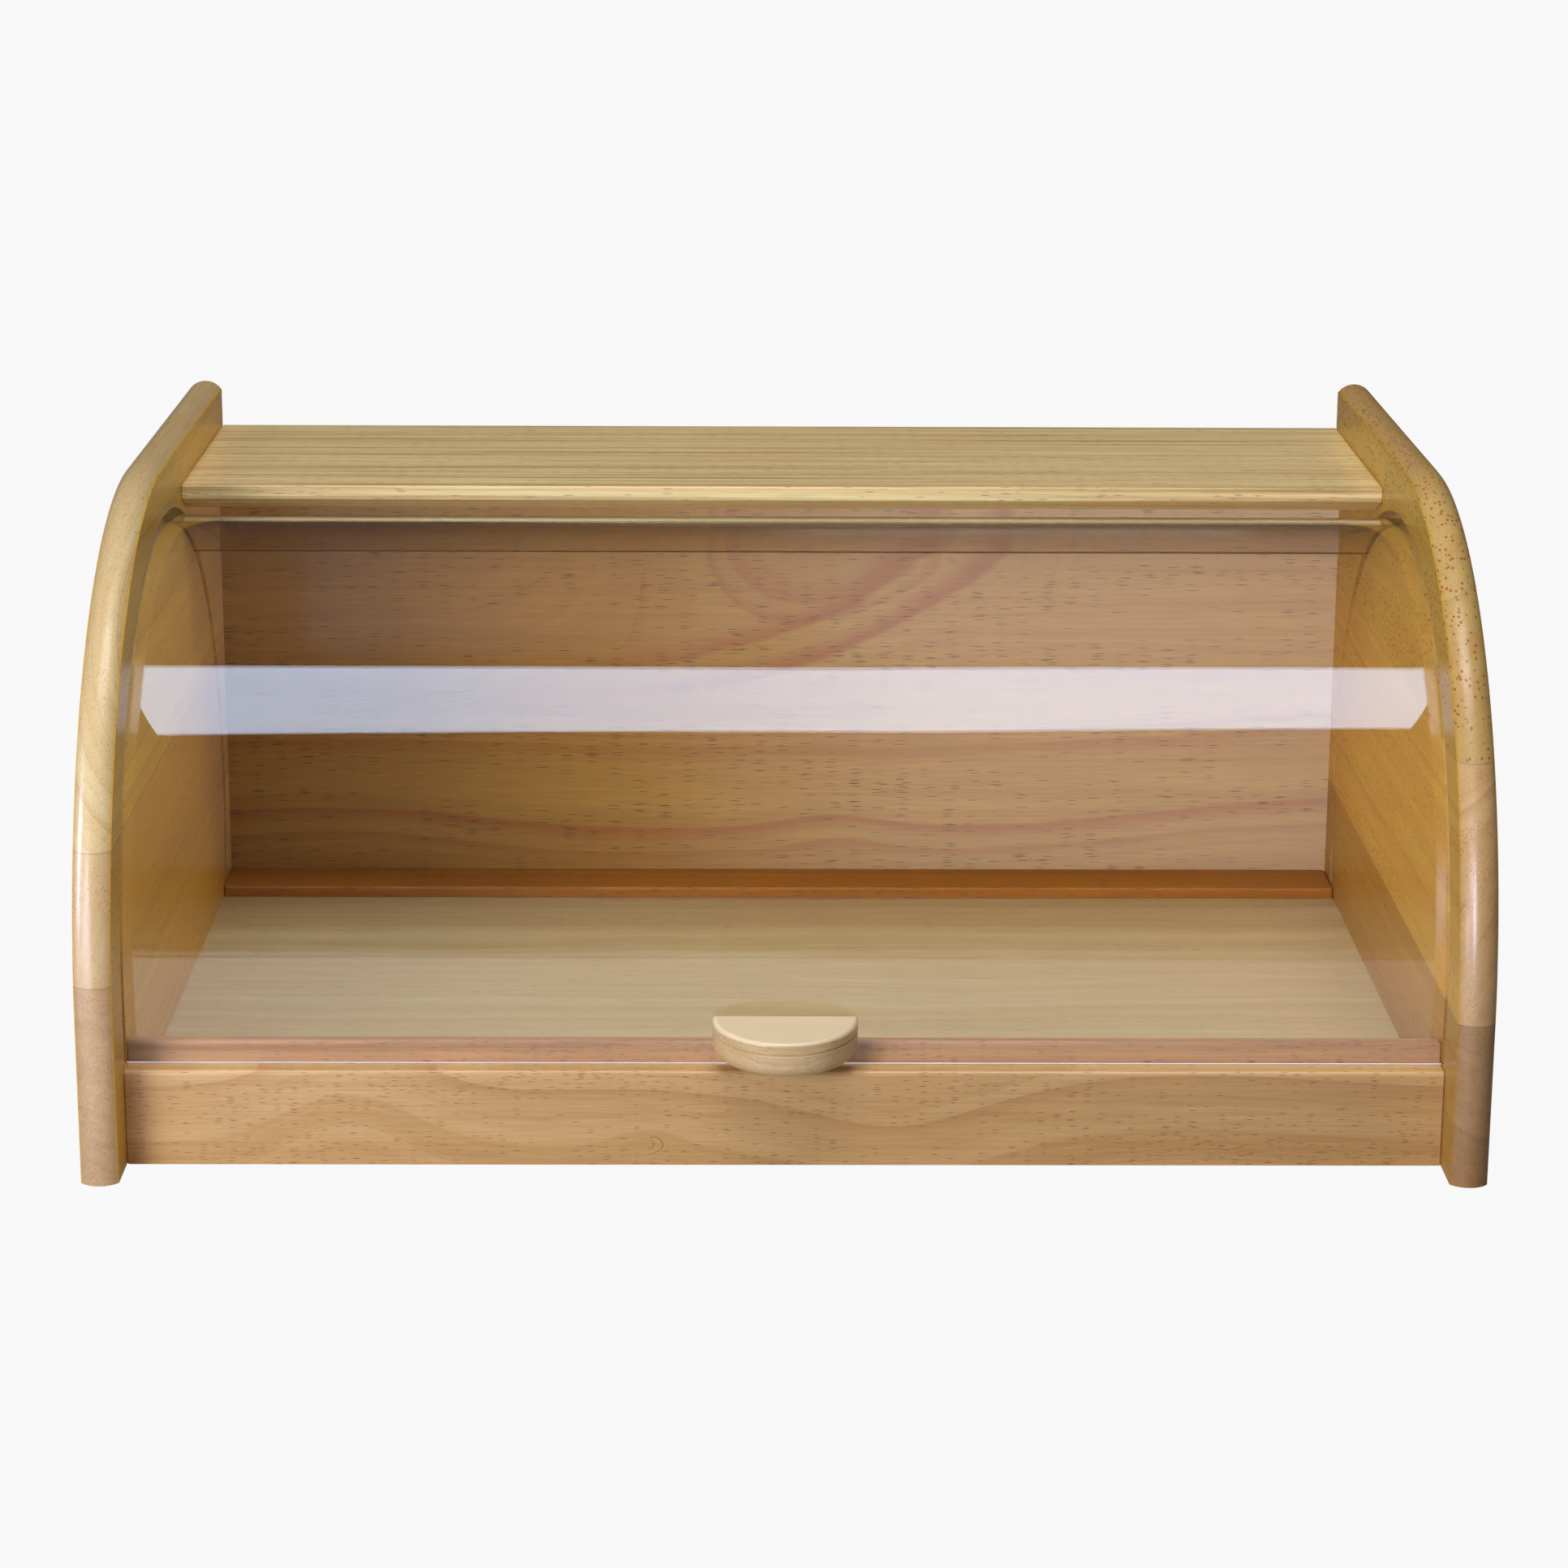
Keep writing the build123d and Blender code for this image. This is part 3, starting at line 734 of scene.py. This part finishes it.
@dataclass
class Carcass:
    """The glued wooden box: side panels of three staves each, shelf, rails, strip and plywood panels."""

    left_joints: tuple[float, float] = (57.0 * MM, 93.0 * MM)
    right_joints: tuple[float, float] = (47.0 * MM, 116.0 * MM)
    # Painted light and shade: tints of the side panels' broad faces, deeper and more saturated as in shade,
    # the left ones brighter in red for light that no lamp brings.
    left_face_light_and_shade: tuple[float, float, float] = (1.20, 1.00, 0.30)
    left_lower_face_light_and_shade: tuple[float, float, float] = (1.30, 1.16, 0.34)
    right_face_shade: tuple[float, float, float] = (1.00, 0.93, 0.34)

    def panel_finishes(self) -> dict[str, WoodFinish]:
        """The finish of each stave of the side panels, by node."""
        front_to_back = Grain.FRONT_TO_BACK
        low_left, high_left = self.left_joints
        low_right, high_right = self.right_joints
        return {
            "left_panel_upper_stave": WoodFinish(
                "left_upper_stave_wood", "e7d49b", "d1ab65", "b28140", grain=front_to_back,
                face_light_and_shade=self.left_face_light_and_shade,
                pith=(-0.135, 0.150), ring_spacing=0.0068, ring_strength=0.5, late_wood=0.8,
                wander=0.0012, streaks=0.10, pores=0.35, pore_share=0.22, mottle=0.3, seed=1.7,
                glue_lines=(high_left,),
            ),
            "left_panel_middle_stave": WoodFinish(
                "left_middle_stave_wood", "dec089", "cba66a", "a77d4a", grain=front_to_back,
                face_light_and_shade=self.left_face_light_and_shade,
                pith=(-0.30, 0.09), ring_spacing=0.008, ring_strength=0.4, late_wood=0.25,
                streaks=0.15, pores=0.4, pore_share=0.3, seed=4.1, glue_lines=(low_left, high_left),
            ),
            "left_panel_lower_stave": WoodFinish(
                "left_lower_stave_wood", "d0ad7a", "bf9763", "9d7145", grain=front_to_back,
                face_light_and_shade=self.left_lower_face_light_and_shade,
                pith=(-0.22, -0.05), ring_spacing=0.007, ring_strength=0.4, late_wood=0.3,
                streaks=0.2, pores=0.4, pore_share=0.3, seed=8.9, glue_lines=(low_left,),
            ),
            "right_panel_upper_stave": WoodFinish(
                "right_upper_stave_wood", "d2b56c", "c4974f", "a36924", grain=front_to_back,
                face_light_and_shade=self.right_face_shade,
                pore_tint="ae5f18", pith=(0.24, 0.05), ring_spacing=0.009, ring_strength=0.4,
                late_wood=0.2, streaks=0.15, pores=1.0, pore_share=1.6, pore_length=0.0030,
                pore_width=0.0015, seed=2.6, glue_lines=(high_right,),
            ),
            "right_panel_middle_stave": WoodFinish(
                "right_middle_stave_wood", "dfb97b", "cd9f61", "a3753c", grain=front_to_back,
                face_light_and_shade=self.right_face_shade,
                pith=(0.26, 0.02), ring_spacing=0.006, ring_strength=0.45, late_wood=0.3,
                streaks=0.2, pores=0.5, pore_share=0.35, seed=6.2, glue_lines=(low_right, high_right),
            ),
            "right_panel_lower_stave": WoodFinish(
                "right_lower_stave_wood", "bc945b", "a87a42", "845629", grain=front_to_back,
                face_light_and_shade=self.right_face_shade,
                pith=(0.15, -0.06), ring_spacing=0.007, ring_strength=0.4, late_wood=0.3,
                streaks=0.2, pores=0.4, pore_share=0.3, seed=9.4, glue_lines=(low_right,),
            ),
        }

    def board_finishes(self) -> dict[str, WoodFinish]:
        """The finish of each board and plywood panel, by node."""
        return {
            "top_shelf": WoodFinish(
                "shelf_wood", "ffeea9", "f1c982", "9c7133", pith=(0.09, -0.05), ring_spacing=0.004,
                ring_strength=0.45, late_wood=0.35, wander=0.003, streaks=0.65, streak_width=0.0009,
                pores=0.45, pore_share=0.35, seed=3.3,
            ),
            "front_rail": WoodFinish(
                "front_rail_wood", "ddb677", "c99c5b", "aa733b", figure=Figure.PEELED_BACK,
                pore_tint="8a4626", line_tint="9c6230", ring_spacing=0.0085, ring_strength=0.65,
                late_wood=0.35, wander=0.003, streaks=0.25, pores=0.7, pore_share=0.36,
                pore_length=0.0042, pore_width=0.00042, mottle=0.35, seed=5.8,
                swirls=(Swirl(-0.039, 0.006, 0.0050, 0.0030, (0.5, 1.0)),),
                waves=(
                    Wave(-0.122, 0.012, 0.026, 0.040, 0.016), Wave(-0.038, 0.006, 0.012, 0.010, 0.006),
                    Wave(0.030, 0.012, 0.034, 0.040, -0.012), Wave(0.120, 0.012, 0.050, 0.040, 0.005),
                ),
            ),
            "front_inner_strip": WoodFinish(
                "inner_strip_wood", "c0996a", "ab8452", "8a5c32", pore_tint="84461f",
                pith=(-0.16, 0.0), ring_spacing=0.005, ring_strength=0.5, late_wood=0.3, wander=0.006,
                streaks=0.25, pores=0.7, pore_share=0.36, pore_length=0.0042, pore_width=0.00042,
                mottle=0.4, seed=7.1,
            ),
            "rear_rail": WoodFinish(
                "rear_rail_wood", "bf7e23", "aa6a18", "884c10", pore_tint="4d2410",
                pith=(0.10, -0.10), ring_spacing=0.005, ring_strength=0.5, late_wood=0.3,
                streaks=0.35, pores=0.5, pore_share=0.35, seed=2.2,
            ),
            "floor_panel": WoodFinish(
                "floor_plywood", "cbc08c", "bca468", "a18749", figure=Figure.PEELED_FLOOR,
                ring_spacing=0.011, ring_strength=0.5, late_wood=0.15, wander=0.012, streaks=0.15,
                pores=0.4, pore_share=0.18, mottle=0.3, roughness=0.36, seed=1.2,
            ),
            "back_panel": WoodFinish(
                "back_plywood", "bf9637", "b18229", "945d11", figure=Figure.PEELED_BACK,
                ring_spacing=0.009, ring_strength=0.40, late_wood=0.2, wander=0.004, streaks=0.22,
                pores=0.95, pore_share=0.26, pore_tint="46240a", pore_length=0.008, pore_width=0.00036,
                line_tint="ac6c1e", mottle=0.25, specular=0.1, coat=1.0, coat_roughness=0.12, seed=6.6,
                swirls=(Swirl(-0.080, 0.145, 0.156, 0.070, (0.90, 1.05)),),
                waves=(
                    Wave(0.018, 0.030, 0.022, 0.012, 0.005),
                    Wave(0.210, 0.040, 0.110, 0.050, 0.011),
                    Wave(-0.150, 0.030, 0.060, 0.030, 0.006),
                ),
                dark_bands=(
                    Band(0.0285, 0.0060, 0.0012, 0.85), Band(0.0205, 0.0030, 0.0010, 0.55),
                    Band(0.0560, 0.0060, 0.0014, 0.55), Band(0.0610, 0.0025, 0.0008, 0.40),
                ),
            ),
        }

    def dowel_finish(self) -> WoodFinish:
        """The finish of the hidden dowels."""
        return WoodFinish("lacquered_dowel", "d3ae78", "bf935c", "9c6c3a", seed=0.4)

    def dress(self) -> None:
        """Put every finish on its node and report each one."""
        finishes = self.panel_finishes() | self.board_finishes()
        for name, finish in finishes.items():
            wear(frame["nodes"][name], finish.material())
            log.info("%s wears %s", name, finish.name)
        shared = self.dowel_finish().material()
        for name in ("front_rail_dowels", "rear_rail_dowels", "shelf_dowels"):
            wear(frame["nodes"][name], shared)
            log.info("%s wears %s", name, shared.name)


@dataclass
class RollTop:
    """The sliding door: the bent clear sheet, its knob and the knob's screws."""

    thickness: float = 2.0 * MM
    edge_round: float = 0.3 * MM
    arc_steps: int = 200
    width_steps: int = 24
    hole_radius: float = 1.7 * MM
    screw_spacing: float = 18.0 * MM
    knob_angle: float = -4.0
    inner_half: float = 184.5 * MM
    hole_sides: int = 32
    round_steps: int = 3
    sharp_angle: float = 60.0
    smooth_angle: float = 50.0
    end_slack: float = 0.0001
    pale_top_depth: float = 2.2 * MM

    def axis(self) -> Vector:
        """A point on the line that the door turns round."""
        return Vector(frame["record"]["behaviour"]["joints"][0]["pos_m"])

    def sizes(self) -> tuple[float, float, float, float]:
        """Read the sheet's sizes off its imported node.

        Returns:
            Outer radius, half width, and the angles of its front and rear edges above the front horizontal.
        """
        low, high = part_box("door_sheet")
        centre = self.axis()
        outer = high.z - centre.z
        front = math.asin((low.z - centre.z) / outer)
        rear = math.pi - math.acos((high.y - centre.y) / outer)
        return outer, high.x, front, rear

    def point(self, radius: float, angle: float, x: float) -> Vector:
        """A place at a radius and angle round the door's axis."""
        centre = self.axis()
        return Vector((x, centre.y - radius * math.cos(angle), centre.z + radius * math.sin(angle)))

    def sheet_body(self) -> bpy.types.Object:
        """Build the sheet as a closed fine-meshed band with softly rounded edges.

        Returns:
            The new object, linked to the scene.
        """
        outer, half_width, front, rear = self.sizes()
        columns = [-half_width]
        for place in range(self.width_steps + 1):
            columns.append(self.inner_half * (2 * place / self.width_steps - 1))
        columns.append(half_width)
        last = len(columns) - 1
        mesh = bmesh.new()
        layers = []
        for radius in (outer, outer - self.thickness):
            rows = []
            for step in range(self.arc_steps + 1):
                angle = front + (rear - front) * step / self.arc_steps
                row = []
                for x in columns:
                    row.append(mesh.verts.new(self.point(radius, angle, x)))
                rows.append(row)
            layers.append(rows)
        upper, lower = layers
        for row in range(self.arc_steps):
            above, above_next, below, below_next = upper[row], upper[row + 1], lower[row], lower[row + 1]
            for place in range(last):
                mesh.faces.new((above[place], above[place + 1], above_next[place + 1], above_next[place]))
                mesh.faces.new((below[place], below_next[place], below_next[place + 1], below[place + 1]))
            for place, flip in ((0, False), (last, True)):
                corners = [above[place], above_next[place], below_next[place], below[place]]
                mesh.faces.new(corners[::-1] if flip else corners)
        for place in range(last):
            for row, flip in ((0, True), (self.arc_steps, False)):
                above, below = upper[row], lower[row]
                corners = [above[place], above[place + 1], below[place + 1], below[place]]
                mesh.faces.new(corners[::-1] if flip else corners)
        bmesh.ops.recalc_face_normals(mesh, faces=mesh.faces)
        sharpest = math.radians(self.sharp_angle)
        sharp = [edge for edge in mesh.edges if edge.calc_face_angle(0.0) > sharpest]
        bmesh.ops.bevel(
            mesh, geom=sharp, offset=self.edge_round, offset_type="OFFSET", segments=self.round_steps,
            profile=0.5, affect="EDGES", clamp_overlap=True,
        )
        return stand(Lit.SHEET.value, mesh)

    def cut_holes(self, sheet: bpy.types.Object) -> None:
        """Cut the two screw holes through the sheet.

        Args:
            sheet: the sheet's object, whose mesh is replaced by the cut one.
        """
        outer = self.sizes()[0]
        lean = math.radians(self.knob_angle)
        outward = Vector((0.0, -math.cos(lean), math.sin(lean)))
        for side in (-0.5, 0.5):
            drill = bmesh.new()
            bmesh.ops.create_cone(
                drill, cap_ends=True, segments=self.hole_sides, radius1=self.hole_radius,
                radius2=self.hole_radius, depth=4 * self.thickness,
            )
            tool = stand("drill", drill)
            middle = self.point(outer - self.thickness / 2, lean, side * self.screw_spacing)
            turn = outward.to_track_quat("Z", "Y").to_matrix()
            tool.matrix_world = Matrix.Translation(middle) @ turn.to_4x4()
            cut = sheet.modifiers.new("hole", "BOOLEAN")
            cut.object = tool
            cut.operation = "DIFFERENCE"
            cut.solver = "EXACT"
            bpy.context.view_layer.update()
            graph = bpy.context.evaluated_depsgraph_get()
            finished = bpy.data.meshes.new_from_object(sheet.evaluated_get(graph))
            sheet.modifiers.clear()
            sheet.data = finished
            bpy.data.objects.remove(tool)

    def rub_edges(self, sheet: bpy.types.Object) -> None:
        """Give the sheet's sawn lower end its own finish, between the side panels.

        Args:
            sheet: the sheet's object.
        """
        sheet.data.materials.append(CutEdgeFinish().material())
        front = self.sizes()[2]
        centre = self.axis()
        for face in sheet.data.polygons:
            angle = math.atan2(face.center.z - centre.z, centre.y - face.center.y)
            if angle < front + self.end_slack and abs(face.center.x) < self.inner_half:
                face.material_index = 1

    def build(self) -> bpy.types.Object:
        """Build the sheet, put it in its CAD node's place and dress the whole door.

        Returns:
            The sheet.
        """
        sheet = self.sheet_body()
        self.cut_holes(sheet)
        sheet.data.name = Lit.SHEET.value
        sheet.data.shade_smooth()
        sheet.data.set_sharp_from_angle(angle=math.radians(self.smooth_angle))
        wear(sheet, AcrylicFinish().material())
        self.rub_edges(sheet)
        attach(sheet, "door")
        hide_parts("door_sheet")
        log.info("clear_sheet stands for door_sheet, %d faces", len(sheet.data.polygons))
        knob = WoodFinish(
            "knob_wood", "e3c790", "d2ac6d", "b38245", pith=(-0.20, 0.16), ring_spacing=0.004,
            ring_strength=0.4, late_wood=0.35, wander=0.002, streaks=0.15, pores=0.3, pore_share=0.25,
            mottle=0.25, roughness=0.36, seed=4.9,
            top_from=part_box("door_knob")[1].z - self.pale_top_depth,
        )
        wear(frame["nodes"]["door_knob"], knob.material())
        log.info("door_knob wears %s", knob.name)
        wear(frame["nodes"]["knob_screws"], SteelFinish().material())
        log.info("knob_screws wear screw_steel")
        return sheet


class Lit(Enum):
    """Which pieces a light falls on."""

    EVERYTHING = "everything"
    WOOD = "wood"
    LEFT_PANEL = "left_panel"
    RIGHT_PANEL = "right_panel"
    BACK_PANEL = "back_panel"
    SHEET = "clear_sheet"
    FRONT = "front"


def lit_pieces(lit: Lit) -> list[bpy.types.Object]:
    """List the pieces that a light with this reach falls on.

    Args:
        lit: the light's reach.

    Returns:
        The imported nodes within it, or the sheet.
    """
    nodes = frame["nodes"]
    if lit is Lit.SHEET:
        return [bpy.data.objects[lit.value]]
    if lit is Lit.FRONT:
        shown = ("front", "left_panel", "right_panel", "door_knob")
        sheet = bpy.data.objects[Lit.SHEET.value]
        return [sheet] + [nodes[name] for name in sorted(nodes) if name.startswith(shown)]
    if lit is Lit.WOOD:
        return [nodes[name] for name in sorted(nodes) if name not in ("door_sheet", "knob_screws")]
    return [nodes[name] for name in sorted(nodes) if name.startswith(lit.value)]


def gather(name: str, lit: Lit) -> bpy.types.Collection:
    """Gather the pieces that a light is linked to.

    Args:
        name: what the new collection is called.
        lit: the light's reach.

    Returns:
        The collection.
    """
    gathered = bpy.data.collections.new(name)
    for piece in lit_pieces(lit):
        gathered.objects.link(piece)
    return gathered


@dataclass(frozen=True)
class SoftLight:
    """A soft rectangular studio light."""

    name: str
    place: tuple[float, float, float]
    aim: tuple[float, float, float]
    width: float
    height: float
    watts: float
    colour: str = "ffffff"
    tilt: float = 0.0
    lit: Lit = Lit.EVERYTHING
    matt_only: bool = False
    gloss_only: bool = False
    blocked_by: Lit | None = None

    def hang(self) -> None:
        """Put the light in the scene."""
        data = bpy.data.lights.new(self.name, "AREA")
        data.shape = "RECTANGLE"
        data.size = self.width
        data.size_y = self.height
        data.energy = self.watts
        data.color = tint(self.colour)[:3]
        lamp = bpy.data.objects.new(self.name, data)
        lamp.location = self.place
        look = (Vector(self.aim) - Vector(self.place)).normalized()
        lamp.rotation_mode = "QUATERNION"
        turned = look.to_track_quat("-Z", "Y") @ Matrix.Rotation(self.tilt, 3, "Y").to_quaternion()
        lamp.rotation_quaternion = turned
        lamp.visible_camera = False
        lamp.visible_glossy = not self.matt_only
        lamp.visible_transmission = not self.matt_only
        lamp.visible_diffuse = not self.gloss_only
        bpy.context.scene.collection.objects.link(lamp)
        if self.lit is not Lit.EVERYTHING:
            lamp.light_linking.receiver_collection = gather(self.name + "_reach", self.lit)
        if self.blocked_by is not None:
            lamp.light_linking.blocker_collection = gather(self.name + "_blockers", self.blocked_by)
        log.info("light %s falls on %s", self.name, self.lit.value)


@dataclass(frozen=True)
class GlowCard:
    """A dim level card that shows only in glossy surfaces; its edges fade away softly."""

    name: str
    place: tuple[float, float, float]
    size: tuple[float, float]
    glow: float
    side_feathers: tuple[float, float]
    end_feathers: tuple[float, float]
    colour: str
    lit: Lit

    def finish(self) -> bpy.types.Material:
        """Build the card's glow, which fades towards each edge."""
        graph = Graph(self.name + "_glow")
        coordinates = graph.node("ShaderNodeTexCoord").outputs["Object"]
        split = graph.node("ShaderNodeSeparateXYZ", {0: coordinates})
        width, length = self.size
        left_feather, right_feather = self.side_feathers
        front_feather, back_feather = self.end_feathers
        left = graph.fade(split.outputs[0], -0.5, -0.5 + left_feather / width)
        right = graph.fade(split.outputs[0], 0.5 - right_feather / width, 0.5, 1.0, 0.0)
        front = graph.fade(split.outputs[1], -0.5, -0.5 + front_feather / length)
        back = graph.fade(split.outputs[1], 0.5 - back_feather / length, 0.5, 1.0, 0.0)
        across = graph.math("MULTIPLY", left, right)
        deep = graph.math("MULTIPLY", front, back)
        strength = graph.math("MULTIPLY", graph.math("MULTIPLY", across, deep), self.glow)
        glow = graph.node("ShaderNodeEmission", {"Color": tint(self.colour), "Strength": strength})
        return graph.close(glow.outputs[0])

    def hang(self) -> None:
        """Put the card in the scene."""
        card = bmesh.new()
        bmesh.ops.create_grid(card, x_segments=4, y_segments=8, size=0.5)
        hung = stand(self.name, card)
        hung.scale = (*self.size, 1.0)
        hung.location = self.place
        hung.visible_camera = False
        hung.visible_diffuse = False
        hung.visible_shadow = False
        hung.light_linking.receiver_collection = gather(self.name + "_reach", self.lit)
        wear(hung, self.finish())
        log.info("%s shows in %s", self.name, self.lit.value)


@dataclass
class Studio:
    """The camera, the lights and the pale floor."""

    camera_place: tuple[float, float, float] = (-0.01117, -1.1939, 0.4047)
    yaw: float = 0.557
    pitch: float = 15.299
    roll: float = 0.269
    lens: float = 93.4
    floor_radius: float = 60.0
    strip_size: tuple[float, float] = (0.688, 0.408)
    strip_slope: float = -11.0
    sheen_size: tuple[float, float] = (0.22, 0.5)
    room_strength: float = 0.03
    backdrop: str = "f8f8f8"
    floor_glow: float = 1.015
    floor_evenness: float = 0.985

    def camera(self) -> None:
        """Set the camera at the viewing angle."""
        data = bpy.data.cameras.new("camera")
        data.sensor_width = 36.0
        data.lens = self.lens
        data.clip_start = 0.05
        data.clip_end = 200.0
        yaw, pitch, roll = (math.radians(angle) for angle in (self.yaw, self.pitch, self.roll))
        ahead = Vector((math.sin(yaw) * math.cos(pitch), math.cos(yaw) * math.cos(pitch), -math.sin(pitch)))
        level = Vector((math.cos(yaw), -math.sin(yaw), 0.0))
        up = level.cross(ahead)
        right = math.cos(roll) * level + math.sin(roll) * up
        upright = -math.sin(roll) * level + math.cos(roll) * up
        turn = Matrix((right, upright, -ahead)).transposed()
        camera = bpy.data.objects.new("camera", data)
        camera.matrix_world = Matrix.Translation(self.camera_place) @ turn.to_4x4()
        bpy.context.scene.collection.objects.link(camera)
        bpy.context.scene.camera = camera

    def lights(self) -> None:
        """Hang the lights round the box."""
        box = (0.0, 0.0, 0.08)
        left_edge = (-0.19, -0.137, 0.08)
        right_edge = (0.19, -0.137, 0.08)
        strip = (0.019, -0.325, 1.064)
        under_strip = (0.019, -0.325, 0.0)
        slope = math.radians(self.strip_slope)
        rig = (
            SoftLight("key_front_left", (-0.86, -1.55, 0.60), box, 0.5, 0.4, 8.8, "fff8f2"),
            SoftLight("sheen_left_panel", (-1.33, -0.51, 0.33), left_edge, *self.sheen_size, 15.0,
                      "d8d4ff", lit=Lit.LEFT_PANEL, gloss_only=True),
            SoftLight("sheen_right_panel", (-0.31, -1.44, 0.38), right_edge, *self.sheen_size, 16.0,
                      "d8d4ff", lit=Lit.RIGHT_PANEL, gloss_only=True),
            SoftLight("sheen_back_panel", (0.31, -1.20, -0.205), (0.31, 0.0, -0.205), 0.60, 0.51, 11.0,
                      "fffcf4", lit=Lit.BACK_PANEL, gloss_only=True, blocked_by=Lit.LEFT_PANEL),
            SoftLight("fill_left_panel", (0.16, -0.06, 0.07), (-0.18, -0.07, 0.05), 0.12, 0.08, 0.04,
                      "ffe2b8", lit=Lit.LEFT_PANEL, matt_only=True),
            SoftLight("low_front_left", (-0.38, -0.50, 0.10), (-0.15, -0.12, 0.02), 0.3, 0.15, 1.4,
                      "d0d8ff", lit=Lit.WOOD),
            SoftLight("strip_overhead", strip, under_strip, *self.strip_size, 6.2, "fbf6ff",
                      tilt=slope, lit=Lit.WOOD),
            SoftLight("strip_in_sheet", strip, under_strip, *self.strip_size, 6.0, "cce4ff",
                      tilt=slope, lit=Lit.SHEET),
            SoftLight("ceiling_fill", (-0.10, -0.35, 1.40), (-0.10, -0.35, 0.0), 1.1, 4.4, 8.8,
                      "f6f0ff", matt_only=True),
        )
        for light in rig:
            light.hang()

    def cards(self) -> None:
        """Lay the dim card on the table in front of the box."""
        table = GlowCard(
            "table_card", (0.10, -0.62, 0.003), (1.7, 0.92), glow=1.35, side_feathers=(0.30, 1.30),
            end_feathers=(0.30, 0.02), colour="fdf6fb", lit=Lit.FRONT,
        )
        table.hang()

    def world(self) -> None:
        """A dim even room for the lighting, and a pale backdrop for the camera."""
        world = bpy.data.worlds.new("room")
        bpy.context.scene.world = world
        world.use_nodes = True
        tree = world.node_tree
        tree.nodes.clear()
        room = tree.nodes.new("ShaderNodeBackground")
        room.name = "room_light"
        room.inputs["Color"].default_value = tint("f6f3ff")
        room.inputs["Strength"].default_value = self.room_strength
        seen = tree.nodes.new("ShaderNodeBackground")
        seen.inputs["Color"].default_value = tint(self.backdrop)
        light_path = tree.nodes.new("ShaderNodeLightPath")
        both = tree.nodes.new("ShaderNodeMixShader")
        output = tree.nodes.new("ShaderNodeOutputWorld")
        tree.links.new(light_path.outputs["Is Camera Ray"], both.inputs[0])
        tree.links.new(room.outputs[0], both.inputs[1])
        tree.links.new(seen.outputs[0], both.inputs[2])
        tree.links.new(both.outputs[0], output.inputs["Surface"])

    def floor(self) -> None:
        """Lay the plain pale floor."""
        rim = bmesh.new()
        bmesh.ops.create_circle(rim, cap_ends=True, segments=96, radius=self.floor_radius)
        ground = stand("floor", rim)
        graph = Graph("pale_floor")
        matt = graph.node("ShaderNodeBsdfDiffuse", {"Color": tint("e6e6e6")})
        even = graph.node("ShaderNodeEmission", {"Color": tint(self.backdrop), "Strength": self.floor_glow})
        layers = {0: self.floor_evenness, 1: matt.outputs[0], 2: even.outputs[0]}
        seen = graph.node("ShaderNodeMixShader", layers)
        light_path = graph.node("ShaderNodeLightPath")
        both = graph.node(
            "ShaderNodeMixShader",
            {0: light_path.outputs["Is Camera Ray"], 1: matt.outputs[0], 2: seen.outputs[0]},
        )
        wear(ground, graph.close(both.outputs[0]))

    def build(self) -> None:
        """Set up the whole studio."""
        bpy.context.scene.view_settings.view_transform = "Standard"
        self.camera()
        self.lights()
        self.cards()
        self.world()
        self.floor()
        log.info("studio is ready")


def write_sizes() -> None:
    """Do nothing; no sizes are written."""
    log.info("sizes written")


def main() -> None:
    """Build the studio and dress the box, one sub-assembly after the other."""
    logging.basicConfig(level=logging.INFO, format="%(name)s: %(message)s")
    Carcass().dress()
    RollTop().build()
    Studio().build()
    write_sizes()


if __name__ == "__main__":
    main()
